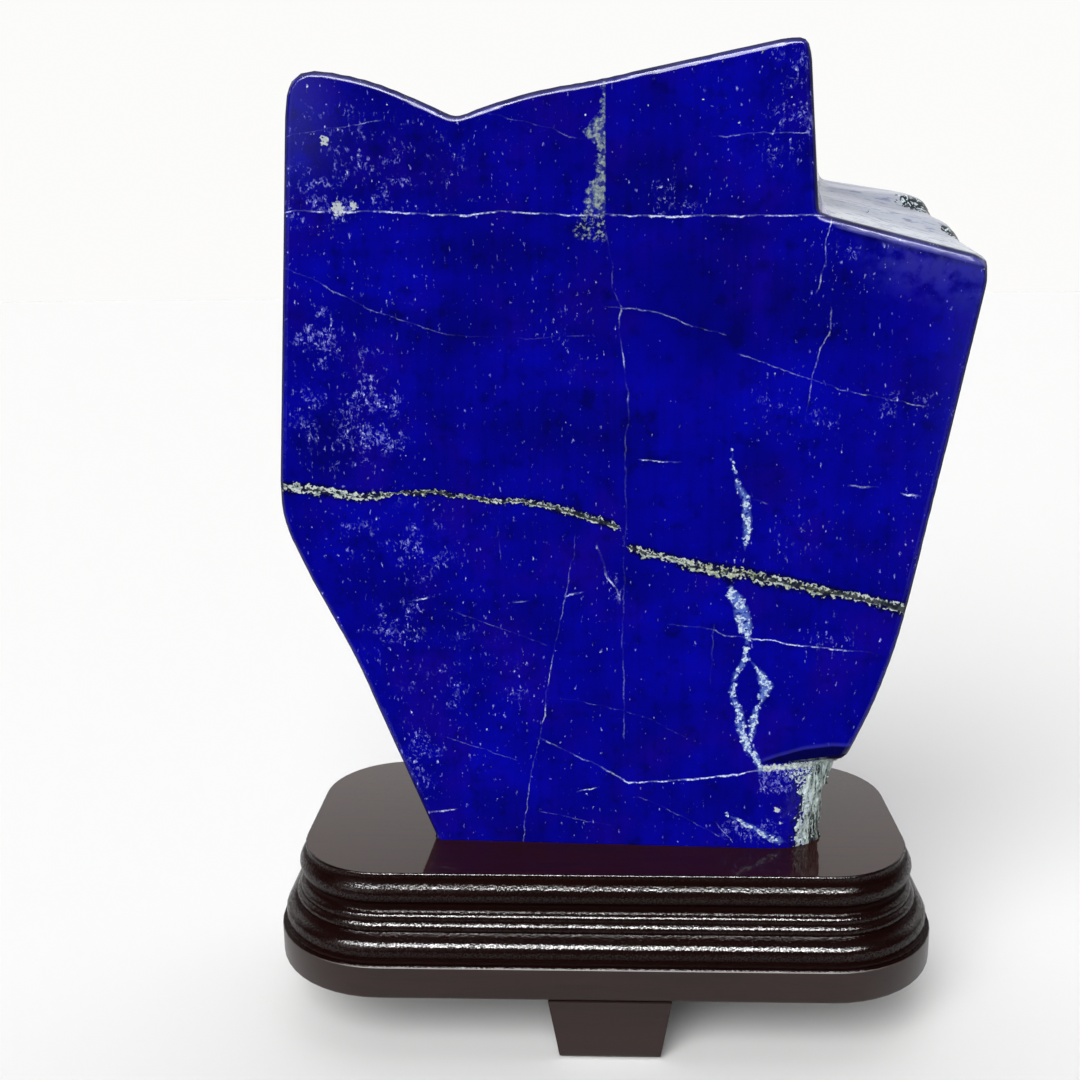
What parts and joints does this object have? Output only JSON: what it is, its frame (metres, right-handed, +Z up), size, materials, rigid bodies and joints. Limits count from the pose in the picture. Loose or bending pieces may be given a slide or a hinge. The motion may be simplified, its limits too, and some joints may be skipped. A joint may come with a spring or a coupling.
{
  "type": "polished lapis lazuli display stone on wooden stand",
  "caption": "Tall polished freeform slab of deep blue lapis lazuli with a notched top and a side ledge, standing upright in a moulded dark hardwood stand on short tapering feet.",
  "frame": {"origin": "centre of the footprint's box, on the floor under the feet", "axes": "+X to the right along the stand as seen from the polished face, +Y towards the back, +Z up"},
  "size_m": [0.2064, 0.101, 0.2876],
  "materials": {
    "lapis": "polished",
    "lacquered_wood": "gloss"
  },
  "bodies": {
    "root": {"lapis_stone": "lapis", "stand_plinth": "lacquered_wood", "foot_front": "lacquered_wood", "foot_back_left": "lacquered_wood", "foot_back_right": "lacquered_wood"}
  },
  "joints": []
}
